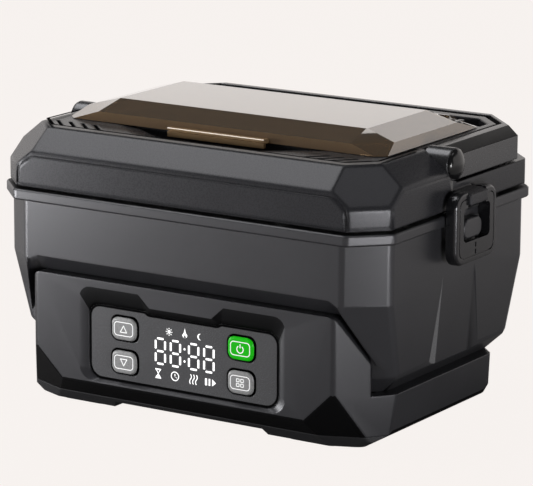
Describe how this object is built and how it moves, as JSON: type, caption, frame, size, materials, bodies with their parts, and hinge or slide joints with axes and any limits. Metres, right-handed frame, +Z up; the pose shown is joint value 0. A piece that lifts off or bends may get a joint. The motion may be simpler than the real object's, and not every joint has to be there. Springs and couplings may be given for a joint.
{
  "type": "electric lunch box",
  "caption": "Faceted electric lunch box with a lift-off lid, tinted flip-up cover on top, folding carry handle, side latches and a front control panel with a lit display.",
  "frame": {"origin": "on the floor under the middle of the box", "axes": "+Z up, +X across the width to the side with the power button, -Y out of the front with the controls"},
  "size_m": [0.268, 0.1865, 0.1633],
  "materials": {
    "black_plastic": "fine matte texture",
    "panel_plastic": "satin",
    "gloss_black": "gloss",
    "power_plastic": "lit green",
    "display_glass": "dark gloss",
    "board": "matte",
    "key_rubber": "matte",
    "foot_rubber": "matte",
    "inlet_plastic": "matte",
    "pin_brass": "polished",
    "relay_plastic": "satin",
    "capacitor_can": "satin",
    "transformer_tape": "satin",
    "liner_aluminium": "drawn",
    "plate_aluminium": "cast",
    "element_steel": "sheathed",
    "sensor_aluminium": "turned",
    "container_steel": "brushed",
    "container_lid_plastic": "satin",
    "seal_silicone": "matte",
    "inner_plastic": "satin",
    "tinted_plastic": "clear smoked brown",
    "pin_steel": "turned",
    "screw_steel": "plated"
  },
  "bodies": {
    "base": {"tub_shell": "black_plastic", "base_housing": "black_plastic", "bottom_cover": "black_plastic", "foot_pads": "foot_rubber", "bottom_screws": "screw_steel", "control_panel": "panel_plastic", "display_module": "display_glass", "control_board": "board", "key_mat": "key_rubber", "power_inlet": "inlet_plastic", "inlet_pins": "pin_brass", "power_board": "board", "relay": "relay_plastic", "capacitor": "capacitor_can", "transformer": "transformer_tape", "inner_liner": "liner_aluminium", "heating_plate": "plate_aluminium", "heating_element": "element_steel", "thermal_fuse": "element_steel", "temperature_sensor": "sensor_aluminium", "sensor_spring": "screw_steel"},
    "button_up": {"button_up": "panel_plastic"},
    "button_down": {"button_down": "panel_plastic"},
    "button_power": {"button_power": "power_plastic"},
    "button_menu": {"button_menu": "panel_plastic"},
    "container": {"food_container": "container_steel"},
    "inner_lid": {"container_lid": "container_lid_plastic", "container_seal": "seal_silicone", "steam_plug": "seal_silicone"},
    "lid": {"lid_shell": "black_plastic", "lid_inner_panel": "inner_plastic", "lid_seal": "seal_silicone", "lid_screws": "screw_steel", "cover_hinge_rod": "pin_steel", "pivot_pins": "pin_steel", "latch_pins": "pin_steel"},
    "cover": {"top_cover": "tinted_plastic"},
    "handle": {"carry_handle": "black_plastic", "pivot_caps": "gloss_black"},
    "latch_left": {"latch_left": "black_plastic"},
    "latch_right": {"latch_right": "black_plastic"}
  },
  "joints": [
    {"name": "container_lift", "type": "slide", "parent": "base", "child": "container", "axis": [0, 0, 1], "range_m": [0, 0.09]},
    {"name": "inner_lid_lift", "type": "slide", "parent": "container", "child": "inner_lid", "axis": [0, 0, 1], "range_m": [0, 0.05]},
    {"name": "lid_lift", "type": "slide", "parent": "inner_lid", "child": "lid", "axis": [0, 0, 1], "range_m": [0, 0.06]},
    {"name": "cover_hinge", "type": "hinge", "parent": "lid", "child": "cover", "pos_m": [0, 0.063, 0.1506], "axis": [-1, 0, 0], "range_deg": [0, 100]},
    {"name": "handle_hinge", "type": "hinge", "parent": "lid", "child": "handle", "pos_m": [0, -0.006, 0.1453], "axis": [1, 0, 0], "range_deg": [0, 90]},
    {"name": "latch_left_hinge", "type": "hinge", "parent": "lid", "child": "latch_left", "pos_m": [-0.129, 0, 0.128], "axis": [0, 1, 0], "range_deg": [0, 110]},
    {"name": "latch_right_hinge", "type": "hinge", "parent": "lid", "child": "latch_right", "pos_m": [0.129, 0, 0.128], "axis": [0, -1, 0], "range_deg": [0, 110]},
    {"name": "button_up_press", "type": "slide", "parent": "base", "child": "button_up", "axis": [0, 1, 0], "range_m": [0, 0.001], "stiffness_N_per_m": 800},
    {"name": "button_down_press", "type": "slide", "parent": "base", "child": "button_down", "axis": [0, 1, 0], "range_m": [0, 0.001], "stiffness_N_per_m": 800},
    {"name": "button_power_press", "type": "slide", "parent": "base", "child": "button_power", "axis": [0, 1, 0], "range_m": [0, 0.001], "stiffness_N_per_m": 800},
    {"name": "button_menu_press", "type": "slide", "parent": "base", "child": "button_menu", "axis": [0, 1, 0], "range_m": [0, 0.001], "stiffness_N_per_m": 800}
  ]
}
